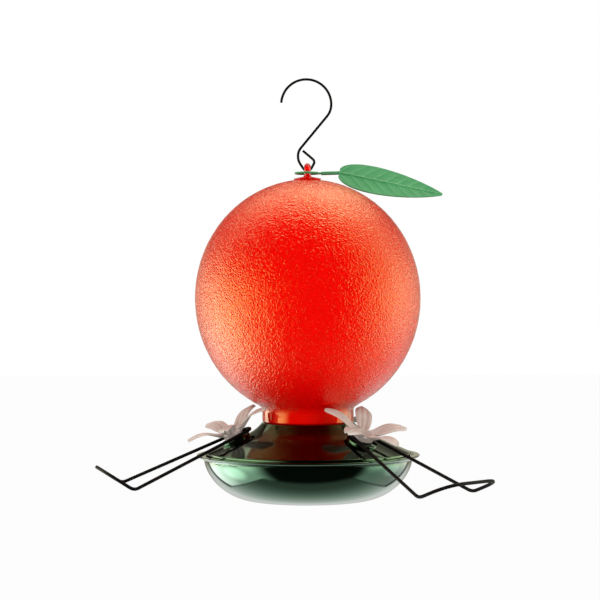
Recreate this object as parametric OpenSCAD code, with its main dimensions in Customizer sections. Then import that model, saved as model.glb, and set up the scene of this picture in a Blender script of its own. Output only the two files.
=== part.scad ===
// Hanging oriole feeder: a glass globe screwed upside down into a two-part base, with three flower
// ports, three wire perches, a leaf on the glass eye and an S-hook to hang it by.
// Millimetres, +Z up. The origin is at the inside top of the hook, where the feeder hangs.

/* [Hook] */
// Radius of the hook's wire
hook_wire_r = 0.75; // [0.65:0.05:0.9]
// Radius of the open upper bend, to the wire's centre line
hook_r = 15; // [11:0.5:18]
// Sideways set of the upper bend from the feeder's axis
hook_set = -0.6; // [-1.5:0.1:0.5]
// Height from the centre of the upper bend down to the corner under the lower eye
hook_span = 42.6; // [40:0.1:52]
// Half the width of the lower eye
hook_eye_w = 5.6; // [5.5:0.1:6.4]
// Height of the lower eye's shoulder above its lowest corner
hook_eye_h = 14.4; // [14:0.1:15]
// Height of the lower eye's side corner above its lowest corner
hook_eye_side_h = 8.9; // [8.6:0.1:9.4]

/* [Glass bottle] */
// Radius of the globe at its widest
globe_r = 67.6; // [60:0.2:75]
// Half the globe's height
globe_half_h = 71.2; // [64:0.2:80]
// Thickness of the globe's wall
glass_wall = 3; // [2:0.1:4]
// Radius of the smooth neck under the globe
neck_r = 27.4; // [26:0.1:31]
// Length of the smooth neck under the globe
neck_len = 9; // [8:0.1:20]
// Length of the threaded finish below the smooth neck
finish_len = 14.5; // [12:0.5:18]
// Thickness of the glass in the threaded finish
finish_wall = 2.8; // [2:0.1:3.4]
// Outer radius of the pierced glass eye on top
eye_r = 5.4; // [5:0.1:6.5]
// Thickness of the glass eye
eye_t = 5.6; // [5.2:0.1:5.8]
// Radius of the hole through the glass eye
eye_hole_r = 1.9; // [1.8:0.1:2]
// Height of the eye's centre above the top of the globe
eye_rise = 4.4; // [4:0.1:5]
// Radius of the stem under the glass eye
stem_r = 4; // [3.5:0.1:4.3]
// Radius of the flared foot of the glass stem
stem_foot_r = 8.2; // [7.4:0.1:9]

/* [Leaf] */
// Length of the leaf blade
leaf_len = 64.4; // [50:0.2:75]
// Width of the leaf blade
leaf_w = 22.6; // [18:0.2:25]
// Thickness of the leaf's sheet
leaf_t = 0.8; // [0.6:0.1:1.2]
// Height of the pressed veins
vein_h = 0.45; // [0.2:0.05:0.7]
// Number of side veins along the blade
vein_count = 9; // [6:1:11]
// Droop of the leaf below level, in degrees
leaf_droop = 10.6; // [8:0.2:13]
// Roll of the leaf about its midrib, in degrees
leaf_roll = 42; // [30:1:50]
// Radius of the wire ring that carries the leaf
leaf_wire_r = 0.65; // [0.5:0.05:0.8]
// Radius of the ring, to the wire's centre line
leaf_ring_r = 7.1; // [7:0.1:7.4]
// Radius of the leaf's stem
leaf_stem_r = 1.1; // [0.9:0.05:1.3]
// Length of the stem between its ring and the blade
leaf_stem_len = 11.4; // [10:0.1:18]

/* [Base] */
// Radius of the cover at its edge
cover_r = 61.2; // [58:0.2:66]
// Thickness of the cover
cover_wall = 2; // [1.6:0.1:2.4]
// Slope of the cover, and tilt of the ports, in degrees
cover_slope = 24; // [21:0.5:26]
// Height of the cone's point of origin below the collar's top
collar_h = 2.9; // [2.6:0.1:3.6]
// Thickness of the collar's edge round the neck
collar_wall = 1.2; // [1:0.1:1.8]
// Radius at which the cover starts to sweep up to the collar
sweep_r = 36; // [34:0.5:37]
// Height of the cover's upright edge
cover_edge_h = 3.4; // [3:0.1:4.5]
// Depth of the skirt that plugs into the tray
skirt_h = 4.8; // [4.2:0.1:6]
// Width of the tray's lip beyond the cover's edge
lip_w = 5.7; // [5:0.1:9]
// Distance of the lip's top below the cover's edge
lip_drop = 1.2; // [0.8:0.1:2]
// Width of the groove between cover and lip
groove_w = 1.8; // [1.4:0.1:2.2]
// Depth of the tray from the lip to the foot
tray_h = 27.3; // [25:0.1:34]
// Thickness of the tray's wall
tray_wall = 2.2; // [1.8:0.1:2.8]
// Radius of the tray's flat foot
foot_r = 32; // [28:0.5:38]
// Depth of the hollow inside the foot
foot_hollow = 0.8; // [0.5:0.1:1.2]
// Thickness of the seal under the glass mouth
seal_t = 2; // [1.5:0.1:2.5]
// Radius of the tray seal's round section
ring_seal_r = 0.8; // [0.6:0.05:0.9]

/* [Ports and flowers] */
// Radius at which the ports stand
port_r = 45; // [44:0.2:47]
// Direction of the first port, in degrees from the front towards the right
port_turn = 44.5; // [0:0.5:110]
// Height of the flat boss under each port, above the cone
boss_h = 2; // [1.6:0.1:2.4]
// Radius of the flat boss under each port
boss_r = 9; // [8.4:0.1:10]
// Radius of the soft bush's upper flange
bush_flange_r = 5.9; // [5.8:0.1:6]
// Thickness of the soft bush's upper flange
bush_flange_t = 0.5; // [0.4:0.1:0.8]
// Radius of the hole in the cover
port_hole_r = 4.6; // [4.4:0.1:4.9]
// Radius of the flower's feeding tube
tube_r = 3; // [2.6:0.1:3.3]
// Radius of the feeding hole through the flower
feed_r = 1.9; // [1.5:0.1:1.9]
// Length of the feeding tube below the cover
tube_len = 14; // [10:0.5:16]
// Radius of the calyx between the perch wires
calyx_r = 5.8; // [5.4:0.1:5.9]
// Reach of a petal's tip from the flower's axis
petal_reach = 26.4; // [22:0.2:27.4]
// Height of a petal's tip above the boss
petal_rise = 10.6; // [8:0.1:11.1]
// Width of a petal at its widest
petal_w = 10.4; // [8:0.2:12]
// Thickness of a petal at its root
petal_t = 1.2; // [1:0.1:1.5]
// Height of the ribs along a petal
rib_h = 0.35; // [0.2:0.05:0.5]

/* [Perches] */
// Radius of the perch wire
perch_wire_r = 1; // [0.8:0.1:1.15]
// Radius of the hairpin bend behind the flower
hairpin_r = 6.5; // [6.4:0.1:7.5]
// Distance of the hairpin's centre behind the port's axis
hairpin_back = 3.9; // [3.4:0.1:4.4]
// Distance from the port's axis to the perch's corners
perch_len = 69.6; // [60:0.2:80]
// Width of the perch between its corners
perch_w = 45.6; // [40:0.2:52]
// Length of the bent-up arch
arch_len = 19.8; // [17:0.2:24]
// Corner radius of the arch
arch_corner_r = 13.5; // [9:0.5:15]
// Bend of each perch at its corners, in degrees
perch_bends = [47.5, 57, 52];
// Sideways lean of each hand-bent arch
perch_leans = [4, 0, 0];

/* [Hidden] */

// Clearances
gap = 0.3;
snug = 0.1;

// Corners of the lower eye, in order: end of the shank, side, bottom, right corner, and the wire's end
hook_bend_z = -(hook_r - hook_wire_r);
hook_low_z = hook_bend_z - hook_span;
eye_corners = [[-hook_eye_w, hook_low_z + hook_eye_h], [-hook_eye_w, hook_low_z + hook_eye_side_h],
    [0.2, hook_low_z], [hook_eye_w - 0.9, hook_low_z + hook_eye_side_h - 0.4],
    [2.9 - hook_eye_w, hook_low_z + hook_eye_h + 0.4]];
eye_ease = 6;
eye_low = eye_corners[2] + 0.25 * eye_ease
    * (unit(eye_corners[1] - eye_corners[2]) + unit(eye_corners[3] - eye_corners[2]));

// Heights down the feeder's axis
hang_z = eye_low[1];
hole_z = hang_z - (eye_hole_r - hook_wire_r - gap);
eye_z = hang_z - 0.6;
globe_top_z = eye_z - eye_rise;
globe_z = globe_top_z - globe_half_h;
neck_join_z = globe_z - globe_half_h * sqrt(1 - pow(neck_r / globe_r, 2));
neck_end_z = neck_join_z - neck_len;
mouth_z = neck_end_z - finish_len;
collar_top_z = neck_end_z - 0.5;
cone_top_z = collar_top_z - collar_h;

// Glass finish and what screws on it
finish_r = neck_r - 2.4;
bore_r = finish_r - finish_wall;
collar_in_r = neck_r - 0.8;
collar_r = collar_in_r + collar_wall;
socket_wall = 2.2;
socket_r = collar_in_r + socket_wall;

// Cover and tray
slope_tan = tan(cover_slope);
cover_drop = cover_wall / cos(cover_slope);
cone_r = neck_r + 0.6;
cover_edge_z = cone_top_z - (cover_r - cone_r) * slope_tan;
cover_foot_z = cover_edge_z - cover_edge_h;
skirt_r = cover_r - 2;
skirt_groove_r = skirt_r - 1.1;
skirt_wall = 1.8;
skirt_end_z = cover_foot_z - skirt_h;
ring_seal_z = cover_foot_z - skirt_h * 0.56;
lip_z = cover_edge_z - lip_drop;
foot_z = lip_z - tray_h;
lip_r = cover_r + lip_w;
lip_in_r = cover_r + groove_w;
tray_in_r = skirt_groove_r + snug + 2 * ring_seal_r + gap;
tray_r = tray_in_r + tray_wall;

// Ports and perches, in each port's own frame: X down the slope, Z along the port's axis
port_z = cone_top_z - (port_r - cone_r) * slope_tan + boss_h / cos(cover_slope);
wire_h = gap + perch_wire_r;
petal_h = wire_h + perch_wire_r + gap;
bush_bore_r = tube_r + snug;
bush_r = port_hole_r - snug;
bush_grip = cover_wall + boss_h + 0.5;

// Facets of the soft and sheet pieces
curve_steps = 28;
petal_rows = 9;
petal_cols = 10;
leaf_rows = 36;
leaf_cols = 10;
wire_sides = 10;

function cone_z(r) = cone_top_z - (r - cone_r) * slope_tan;
function port_angle(i) = port_turn - 90 - 120 * (i - 1);
function unit(v) = v / norm(v);
function arc2(c, r, a0, a1, n) = [for (k = [0:n]) let (a = a0 + (a1 - a0) * k / n)
    [c[0] + r * cos(a), c[1] + r * sin(a)]];
function bezier2(a, b, c, t) = a * (1 - t) * (1 - t) + b * 2 * t * (1 - t) + c * t * t;
function bezier3(a, b, c, d, t) = a * pow(1 - t, 3) + b * 3 * t * pow(1 - t, 2)
    + c * 3 * t * t * (1 - t) + d * pow(t, 3);
function in_front(p) = [p[0], 0, p[1]];
// A corner of a bent wire: an easy curve that starts and ends at distance r from the corner.
function eased(a, p, b, r, n) = let (from = p + unit(a - p) * r, to = p + unit(b - p) * r)
    [for (k = [0:n]) bezier2(from, p, to, k / n)];

// Closed solid between two grids of points with the same rows and columns.
module skin_solid(upper, lower) {
    rows = len(upper) - 1;
    cols = len(upper[0]) - 1;
    count = (rows + 1) * (cols + 1);
    function at(i, j, k) = k * count + i * (cols + 1) + j;
    points = concat([for (row = upper) each row], [for (row = lower) each row]);
    tops = [for (i = [0:rows - 1]) for (j = [0:cols - 1]) each
        [[at(i, j, 0), at(i, j + 1, 0), at(i + 1, j + 1, 0)], [at(i, j, 0), at(i + 1, j + 1, 0), at(i + 1, j, 0)]]];
    bottoms = [for (i = [0:rows - 1]) for (j = [0:cols - 1]) each
        [[at(i, j, 1), at(i + 1, j + 1, 1), at(i, j + 1, 1)], [at(i, j, 1), at(i + 1, j, 1), at(i + 1, j + 1, 1)]]];
    ends = [for (j = [0:cols - 1]) each
        [[at(0, j, 1), at(0, j + 1, 1), at(0, j + 1, 0)], [at(0, j, 1), at(0, j + 1, 0), at(0, j, 0)],
         [at(rows, j, 0), at(rows, j + 1, 0), at(rows, j + 1, 1)], [at(rows, j, 0), at(rows, j + 1, 1), at(rows, j, 1)]]];
    sides = [for (i = [0:rows - 1]) each
        [[at(i, 0, 0), at(i + 1, 0, 0), at(i + 1, 0, 1)], [at(i, 0, 0), at(i + 1, 0, 1), at(i, 0, 1)],
         [at(i, cols, 1), at(i + 1, cols, 1), at(i + 1, cols, 0)], [at(i, cols, 1), at(i + 1, cols, 0), at(i, cols, 0)]]];
    polyhedron(points, concat(tops, bottoms, ends, sides));
}

// Round wire along a path of points. The path never runs along the up direction.
module wire(path, r, up, closed = false) {
    n = len(path);
    function tangent(i) = closed
        ? unit(path[(i + 1) % n] - path[(i + n - 1) % n])
        : unit(path[min(i + 1, n - 1)] - path[max(i - 1, 0)]);
    points = [for (i = [0:n - 1]) let (t = tangent(i), side = unit(cross(t, up)), rise = cross(side, t))
        for (k = [0:wire_sides - 1]) let (a = 360 * k / wire_sides) path[i] + r * (cos(a) * side + sin(a) * rise)];
    function at(i, k) = (i % n) * wire_sides + k % wire_sides;
    walls = [for (i = [0:n - (closed ? 1 : 2)]) for (k = [0:wire_sides - 1]) each
        [[at(i, k), at(i + 1, k + 1), at(i + 1, k)], [at(i, k), at(i, k + 1), at(i + 1, k + 1)]]];
    caps = closed ? [] : [for (k = [1:wire_sides - 2]) each
        [[at(0, 0), at(0, k + 1), at(0, k)], [at(n - 1, 0), at(n - 1, k), at(n - 1, k + 1)]]];
    polyhedron(points, concat(walls, caps));
}

module at_port(i) {
    rotate([0, 0, port_angle(i)]) translate([port_r, 0, port_z]) rotate([0, cover_slope, 0]) children();
}

// Hook: an open bend above, a slanting shank, and an eye below whose end closes on the shank.
hook_knee = [hook_set + hook_r, hook_bend_z - 4.1];
hook_line = concat(
    arc2([hook_set, hook_bend_z], hook_r, 176, 4, 18),
    eased([hook_set + hook_r, hook_bend_z], hook_knee, eye_corners[0], 4.1, 5),
    eased(hook_knee, eye_corners[0], eye_corners[1], 2.7, 4),
    eased(eye_corners[0], eye_corners[1], eye_corners[2], 2.4, 4),
    eased(eye_corners[1], eye_corners[2], eye_corners[3], eye_ease, 8),
    eased(eye_corners[2], eye_corners[3], eye_corners[4], 2, 5),
    [eye_corners[4]]);

module hook() {
    color("#1c1a1a") wire([for (p = hook_line) in_front(p)], hook_wire_r, [0, 1, 0]);
}

// Bottle: one blown shell with the globe, the neck, the finish and the flared stem of the eye.
neck_angle = asin(neck_r / globe_r);
foot_angle = asin((stem_foot_r - 0.6) / globe_r);
stem_top_z = eye_z + 1;
flare_w = stem_foot_r - stem_r;
neck_ease = 1.2;
function globe_point(a, inset) = [(globe_r - inset) * sin(a), globe_z - (globe_half_h - inset) * cos(a)];
bottle_section = concat(
    [[0, globe_z + globe_half_h - glass_wall]],
    [for (k = [1:curve_steps - 1]) let (a = 180 + (asin(bore_r / (globe_r - glass_wall)) - 180) * k / curve_steps)
        globe_point(a, glass_wall)],
    [globe_point(asin(bore_r / (globe_r - glass_wall)), glass_wall)],
    [[bore_r, mouth_z + 0.8], [bore_r + 0.8, mouth_z], [finish_r - 0.8, mouth_z], [finish_r, mouth_z + 0.8],
     [finish_r, neck_end_z], [neck_r - 0.6, neck_end_z], [neck_r, neck_end_z + 0.6],
     [neck_r, neck_join_z - neck_ease], [neck_r + neck_ease * 0.3, neck_join_z - neck_ease * 0.35]],
    [for (k = [1:curve_steps]) let (a = neck_angle + 2 + (178 - neck_angle - foot_angle) * k / curve_steps)
        globe_point(a, 0)],
    [[stem_foot_r, globe_top_z - 0.1], [stem_foot_r, globe_top_z + 0.45],
     [stem_foot_r - 0.3 * flare_w, globe_top_z + 0.75], [stem_foot_r - 0.62 * flare_w, globe_top_z + 1.1],
     [stem_foot_r - 0.88 * flare_w, globe_top_z + 1.7], [stem_r, globe_top_z + 2.5],
     [stem_r, stem_top_z - 0.4], [stem_r - 0.4, stem_top_z], [0, stem_top_z]]);

module bottle() {
    eye_section = [for (k = [0:24]) let (a = -90 + 180 * k / 24) [eye_r * max(0, cos(a)), eye_t / 2 * sin(a)]];
    // The hole opens out towards both faces, so the bent eye of the hook can swing in it.
    flare = 3.3;
    hole_section = [[0, -2 * eye_t], [eye_hole_r, -2 * eye_t], [eye_hole_r, -eye_t / 2 - 0.55],
        [eye_hole_r + flare, -eye_t / 2], [eye_hole_r, -0.3], [eye_hole_r, 0.3],
        [eye_hole_r + flare, eye_t / 2], [eye_hole_r, eye_t / 2 + 0.55], [eye_hole_r, 2 * eye_t], [0, 2 * eye_t]];
    color("#e0301a") difference() {
        union() {
            rotate_extrude($fn = 96) polygon(bottle_section);
            translate([0, 0, eye_z]) rotate([0, 90, 0]) rotate_extrude($fn = 48) polygon(eye_section);
        }
        translate([0, 0, hole_z]) rotate([0, 90, 0]) rotate_extrude($fn = 48) polygon(hole_section);
    }
}

// Leaf: a pressed blade on a wire whose ring lies loosely round the glass stem.
ring_z = eye_z - 0.7;
blade_x = leaf_ring_r + leaf_stem_len;
blade_z = ring_z - 0.7;
function leaf_half(t) = leaf_w / 2 * 2.25 * pow(t, 0.42) * pow(1 - t, 0.85);
function leaf_relief(t, v) =
    let (along = t * vein_count - abs(v) * leaf_half(t) * 0.9 * vein_count / leaf_len,
         vein = pow(abs(cos(180 * along)), 3) * (1 - pow(abs(v), 4)))
    vein_h * (vein - 0.5) + (v == 0 ? vein_h : 0) + 0.3 * v * v;
function leaf_surface(lift) = [for (i = [0:leaf_rows]) let (t = 0.008 + 0.982 * i / leaf_rows)
    [for (j = [0:leaf_cols]) let (v = 2 * j / leaf_cols - 1)
        [leaf_len * t, leaf_half(t) * v, leaf_relief(t, v) + lift]]];

module leaf() {
    tail = 24;
    ring_path = [for (k = [0:22]) let (a = -tail - (360 - 2 * tail) * k / 22)
        [leaf_ring_r * cos(a), leaf_ring_r * sin(a), ring_z]];
    tail_path = [[leaf_ring_r + 0.5, leaf_ring_r * sin(tail) * 0.45, ring_z], [leaf_ring_r + 2, 0.4, ring_z - 0.15],
        [leaf_ring_r + 4, 0.1, ring_z - 0.3]];
    stem_path = [[leaf_ring_r + 1.2, 0, ring_z - 0.15], [blade_x, 0, blade_z],
        [blade_x + 6, 0, blade_z - 6 * tan(leaf_droop)]];
    color("#5aa56a") union() {
        wire(concat(ring_path, tail_path), leaf_wire_r, [0, 0, 1]);
        wire(stem_path, leaf_stem_r, [0, 1, 0]);
        translate([blade_x, 0, blade_z]) rotate([0, leaf_droop, 0]) rotate([leaf_roll, 0, 0])
            skin_solid(leaf_surface(leaf_t / 2), leaf_surface(-leaf_t / 2));
    }
}

// Flat ring that the glass mouth seals on.
module neck_seal() {
    color("#c9c4b4") translate([0, 0, mouth_z - gap - seal_t]) difference() {
        cylinder(h = seal_t, r = collar_in_r - 0.4, $fn = 72);
        translate([0, 0, -1]) cylinder(h = seal_t + 2, r = bore_r + 0.4, $fn = 72);
    }
}

// Socket under the cover's centre: the neck screws into it and the nectar runs out of its floor.
ledge_z = mouth_z - 2 * gap - seal_t;
ledge_t = 1.8;
socket_top_z = cone_z(collar_in_r) - cover_drop - gap;
socket_flange_r = 36;
socket_flange_z = cone_z(socket_flange_r) - cover_drop - 2 * gap;

module threaded_socket() {
    color("#2f4a36") rotate_extrude($fn = 96) polygon([
        [collar_in_r, socket_top_z], [socket_r, socket_top_z - (socket_r - collar_in_r) * slope_tan],
        [socket_r, socket_flange_z], [socket_flange_r, socket_flange_z], [socket_flange_r, socket_flange_z - 1.6],
        [socket_r, socket_flange_z - 1.6], [socket_r, ledge_z - ledge_t], [bore_r, ledge_z - ledge_t],
        [bore_r, ledge_z], [collar_in_r, ledge_z]]);
}

// Cover: collar, cone, upright edge and a skirt with a groove for the tray seal.
groove_half = ring_seal_r + snug;
collar_sweep = [for (k = [0:8]) bezier2([collar_r, collar_top_z],
    [sweep_r - 0.58 * (sweep_r - collar_r), cone_z(sweep_r - 0.58 * (sweep_r - collar_r))],
    [sweep_r, cone_z(sweep_r)], k / 8)];
module base_cover() {
    color("#4f7d5c") difference() {
        union() {
            rotate_extrude($fn = 120) polygon([
                [collar_in_r, collar_top_z], each collar_sweep,
                [cover_r - 0.5, cone_z(cover_r - 0.5)], [cover_r, cover_edge_z - 0.4],
                [cover_r, cover_foot_z], [skirt_r, cover_foot_z],
                [skirt_r, ring_seal_z + groove_half], [skirt_groove_r, ring_seal_z + groove_half],
                [skirt_groove_r, ring_seal_z - groove_half], [skirt_r, ring_seal_z - groove_half],
                [skirt_r, skirt_end_z], [skirt_r - skirt_wall, skirt_end_z],
                [skirt_r - skirt_wall, cone_z(skirt_r - skirt_wall) - cover_drop],
                [collar_in_r, cone_z(collar_in_r) - cover_drop]]);
            for (i = [1:3]) at_port(i) translate([0, 0, -boss_h - cover_wall / 2])
                cylinder(h = boss_h + cover_wall / 2, r = boss_r, $fn = 64);
        }
        for (i = [1:3]) at_port(i) translate([0, 0, -12]) cylinder(h = 20, r = port_hole_r, $fn = 48);
    }
}

module tray_seal() {
    color("#24241f") translate([0, 0, ring_seal_z]) rotate_extrude($fn = 120)
        translate([skirt_groove_r + snug + ring_seal_r, 0]) circle(r = ring_seal_r, $fn = 20);
}

// Tray: a bowl with a bevelled lip outside and a ledge inside that the cover's edge stands over.
bowl_top_z = lip_z - 4.6;
floor_z = foot_z + tray_wall + 0.2;
bowl_steps = 12;
// Share of the way from the foot's radius to the top's, at a share t of the bowl's depth.
function bowl_share(t) = sqrt(max(0, 1 - pow(t, 1.6)));
function bowl_curve(r_top, r_foot, z_top, z_foot) = [for (k = [0:bowl_steps])
    let (t = sin(90 * k / bowl_steps)) [r_foot + (r_top - r_foot) * bowl_share(t), z_top + (z_foot - z_top) * t]];
module tray() {
    hollow_r = foot_r - 4;
    color("#4f7d5c") rotate_extrude($fn = 120) polygon(concat(
        [[0, foot_z + foot_hollow], [hollow_r - foot_hollow, foot_z + foot_hollow], [hollow_r, foot_z]],
        [for (k = [bowl_steps:-1:0]) bowl_curve(tray_r, foot_r, bowl_top_z, foot_z)[k]],
        [[lip_r - 0.6, lip_z - 1], [lip_r, lip_z - 0.5], [lip_r - 0.3, lip_z], [lip_in_r, lip_z],
         [lip_in_r, cover_foot_z - gap], [tray_in_r, cover_foot_z - gap]],
        bowl_curve(tray_in_r, foot_r - 1, skirt_end_z + 0.6, floor_z),
        [[0, floor_z]]));
}

// Soft bush in the cover's hole, with a flange above and a lip below.
module port_bush(i) {
    lip = 0.8;
    color("#d8b9ab") at_port(i) difference() {
        union() {
            translate([0, 0, -bush_grip - 1.3]) cylinder(h = bush_grip + 1.3 + bush_flange_t, r = bush_r - snug, $fn = 48);
            translate([0, 0, snug / 2]) cylinder(h = bush_flange_t - snug / 2, r = bush_flange_r, $fn = 64);
            translate([0, 0, -bush_grip - 1.3]) cylinder(h = 1.2, r1 = bush_r, r2 = bush_r + lip, $fn = 48);
        }
        translate([0, 0, -bush_grip - 2]) cylinder(h = bush_grip + bush_flange_t + 4, r = bush_bore_r, $fn = 48);
    }
}

// Flower: five ribbed petals on a calyx with a feeding tube.
petal_start = [4.6, petal_h + 0.9];
petal_end = [petal_reach, petal_rise];
function petal_line(t) = bezier3(petal_start, [11, petal_h + 1.4], [petal_reach * 0.49, petal_rise * 1.24], petal_end, t);
function petal_normal(t) = let (d = unit(petal_line(min(1, t + 0.02)) - petal_line(max(0, t - 0.02)))) [-d[1], d[0]];
function petal_half(t) = petal_w / 2 * (t < 0.68 ? 0.5 + 0.5 * sin(90 * t / 0.68) : sqrt(1 - 0.96 * pow((t - 0.68) / 0.32, 2)));
function petal_relief(t, v) = rib_h * (1 - 0.6 * t) * cos(360 * v / 0.64) * (1 - pow(abs(v), 6))
    + v * v * (2.2 * (1 - t) * (1 - t) - 1.1 * t * t);
function petal_surface(side) = [for (i = [0:petal_rows]) let (t = sin(90 * i / petal_rows),
        c = petal_line(t), n = petal_normal(t), half_t = petal_t * (1 - 0.5 * t) / 2)
    [for (j = [0:petal_cols]) let (v = 2 * j / petal_cols - 1, lift = petal_relief(t, v) + side * half_t)
        [c[0] + n[0] * lift, petal_half(t) * v, c[1] + n[1] * lift]]];

module flower(i) {
    rim = petal_h + 2.6;
    color("#e6cfc6") at_port(i) union() {
        rotate_extrude($fn = 48) polygon([
            [feed_r, -tube_len], [tube_r - 0.5, -tube_len], [tube_r, 0.8 - tube_len], [tube_r, bush_flange_t + gap],
            [calyx_r, bush_flange_t + gap], [calyx_r, petal_h], [calyx_r + 0.9, petal_h + 1.4],
            [calyx_r - 0.4, rim], [feed_r + 2.6, rim], [feed_r + 1, petal_h + 0.4], [feed_r, petal_h - 1.2]]);
        for (k = [0:4]) rotate([0, 0, 72 * k]) skin_solid(petal_surface(1), petal_surface(-1));
    }
}

// Perch: a hairpin behind the flower, two spreading legs, and a rounded arch bent up at their ends.
module perch(i) {
    bend = perch_bends[i - 1];
    lean = perch_leans[i - 1];
    up_arch = [cos(bend) * arch_len, lean, sin(bend) * arch_len];
    hairpin = [for (k = [0:10]) let (a = 90 + 18 * k) [hairpin_r * cos(a) - hairpin_back, hairpin_r * sin(a), wire_h]];
    near_a = [perch_len, -perch_w / 2, wire_h];
    near_b = [perch_len, perch_w / 2, wire_h];
    far_a = near_a + up_arch;
    far_b = near_b + up_arch;
    path = concat(hairpin,
        eased(hairpin[10], near_a, far_a, 3, 3), eased(near_a, far_a, far_b, arch_corner_r, 6),
        eased(far_a, far_b, near_b, arch_corner_r, 6), eased(far_b, near_b, hairpin[0], 3, 3));
    color("#1c1a1a") at_port(i) wire(path, perch_wire_r, [0, 0, 1], closed = true);
}

hook();
bottle();
leaf();
neck_seal();
threaded_socket();
base_cover();
tray_seal();
tray();
port_bush(1);  // port_bush_1
port_bush(2);  // port_bush_2
port_bush(3);  // port_bush_3
flower(1);  // flower_1
flower(2);  // flower_2
flower(3);  // flower_3
perch(1);  // perch_1
perch(2);  // perch_2
perch(3);  // perch_3
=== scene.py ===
"""Looks for the hanging oriole feeder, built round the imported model.

Sizes are in millimetres, and new_mesh takes them to metres. The origin is the inside top of the
hook, +Z is up and the camera looks along +Y.
"""

import math

import bmesh
import bpy
import numpy as np
from mathutils import Matrix, Vector, noise


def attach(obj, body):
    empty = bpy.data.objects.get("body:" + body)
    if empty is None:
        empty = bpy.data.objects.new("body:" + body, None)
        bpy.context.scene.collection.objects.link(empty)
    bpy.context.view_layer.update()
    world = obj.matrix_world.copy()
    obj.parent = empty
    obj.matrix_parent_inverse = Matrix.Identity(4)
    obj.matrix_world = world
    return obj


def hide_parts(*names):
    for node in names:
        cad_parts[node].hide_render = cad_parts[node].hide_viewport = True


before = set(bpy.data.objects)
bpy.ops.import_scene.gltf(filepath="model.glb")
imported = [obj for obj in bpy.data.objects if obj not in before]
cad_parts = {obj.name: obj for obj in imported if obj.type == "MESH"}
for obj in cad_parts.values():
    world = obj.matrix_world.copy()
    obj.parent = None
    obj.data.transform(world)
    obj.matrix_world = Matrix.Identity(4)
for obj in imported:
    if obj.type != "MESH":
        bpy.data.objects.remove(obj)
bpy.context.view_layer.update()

MM = 0.001

# Hook
HOOK_WIRE_R = 0.75
HOOK_R = 15.0
HOOK_SET = -0.6
HOOK_SPAN = 42.6
HOOK_START_ANGLE = 176
HOOK_END_ANGLE = 2
HOOK_KNEE = 4.1
HOOK_EYE_W = 5.6
HOOK_EYE_H = 14.4
HOOK_EYE_SIDE_H = 8.9
HOOK_EYE_LOW_X = 0.2
HOOK_EYE_SKEW = 0.4
HOOK_EYE_END = 2.9
HOOK_EYE_FAR_IN = 0.9
HOOK_EYE_EASE = 6.0
HOOK_EYE_TOP_BEND = 2.7
HOOK_EYE_NEAR_BEND = 2.4
HOOK_EYE_FAR_BEND = 2.0

# Bottle
GLOBE_R = 67.6
GLOBE_HALF_H = 71.2
GLASS_WALL = 3.0
NECK_R = 27.4
NECK_LEN = 9.0
NECK_EASE = 1.2
FINISH_LEN = 14.5
FINISH_WALL = 2.8
FINISH_STEP = 2.4
MOUTH_ROUND = 0.9
BORE_LEN = 4.0
GLASS_EYE_R = 5.4
GLASS_EYE_T = 5.6
GLASS_EYE_HOLE_R = 1.9
GLASS_EYE_FLARE = 3.3
GLASS_EYE_HOLE_MID = 0.3
GLASS_EYE_RISE = 4.4
GLASS_EYE_LOW = 0.6
STEM_R = 4.0
STEM_FOOT_R = 8.2
STEM_FOOT_EDGE = 0.6
STEM_SINK = 0.45
STEM_LAP = 1.0
STEM_EDGE = 0.4
STEM_ROUND = 0.8
THREAD_PITCH = 6.0
THREAD_R = 0.9
THREAD_STEPS = 48
THREAD_END = 2.5
SOCKET_THREAD_END = 1.2

# Hammered dents: the depth, how fine they are, and how much and how finely their lines bend
HAMMER_DEPTH = 0.15
HAMMER_FREQ = 0.62
HAMMER_BEND = 0.8
HAMMER_BEND_FREQ = 0.3
HAMMER_SEED = 7
# The dents fade out over these heights: above the neck, and below a level under the globe's top
NECK_FADE = 3.0
TOP_FADE = 1.5
TOP_CLEAR = 0.8
GLOBE_STEPS, GLOBE_INNER_STEPS, GLOBE_AROUND = 190, 30, 400

# Leaf
LEAF_LEN = 64.4
LEAF_W = 22.6
LEAF_T = 0.8
LEAF_CUP = 0.3
VEIN_H = 0.45
VEIN_COUNT = 9
VEIN_SLANT = 0.9
VEIN_SHARPNESS = 7
VEIN_RELIEF = VEIN_H * 0.55
MIDRIB_R = 0.55
MIDRIB_H = VEIN_H * 1.6
# The blade's outline: a power at its foot, one at its tip, and what makes it LEAF_W wide at most
LEAF_FOOT_POWER = 0.42
LEAF_TIP_POWER = 0.85
LEAF_FILL = 2.25
# Shares of the blade's length where its mesh starts, and which it covers
LEAF_START = 0.008
LEAF_COVERED = 0.982
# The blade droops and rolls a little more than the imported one, as the photograph has it
LEAF_DROOP = 12.0
LEAF_ROLL = 48.0
LEAF_BLADE_RISE = 0.15
LEAF_WIRE_R = 0.65
LEAF_RING_R = 7.1
LEAF_RING_TAIL = 24.0
LEAF_RING_DROP = 0.7
LEAF_STEM_R = 1.1
LEAF_STEM_LEN = 11.4
LEAF_STEM_LAP = 6.0

# Base
COVER_R = 61.2
COVER_WALL = 2.0
COVER_SLOPE = 24.0
COLLAR_H = 2.9
COLLAR_WALL = 1.2
COLLAR_GAP = 0.5
COLLAR_SET = 0.8
CONE_SET = 0.6
SWEEP_R = 36.0
SWEEP_PULL = 0.58
COVER_EDGE_H = 3.4
COVER_ROUND = 0.45
SKIRT_H = 4.8
SKIRT_WALL = 1.8
SKIRT_SET = 2.0
SEAL_GROOVE_DEPTH = 1.1
RING_SEAL_SHARE = 0.56
LIP_W = 5.7
LIP_DROP = 1.2
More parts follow.
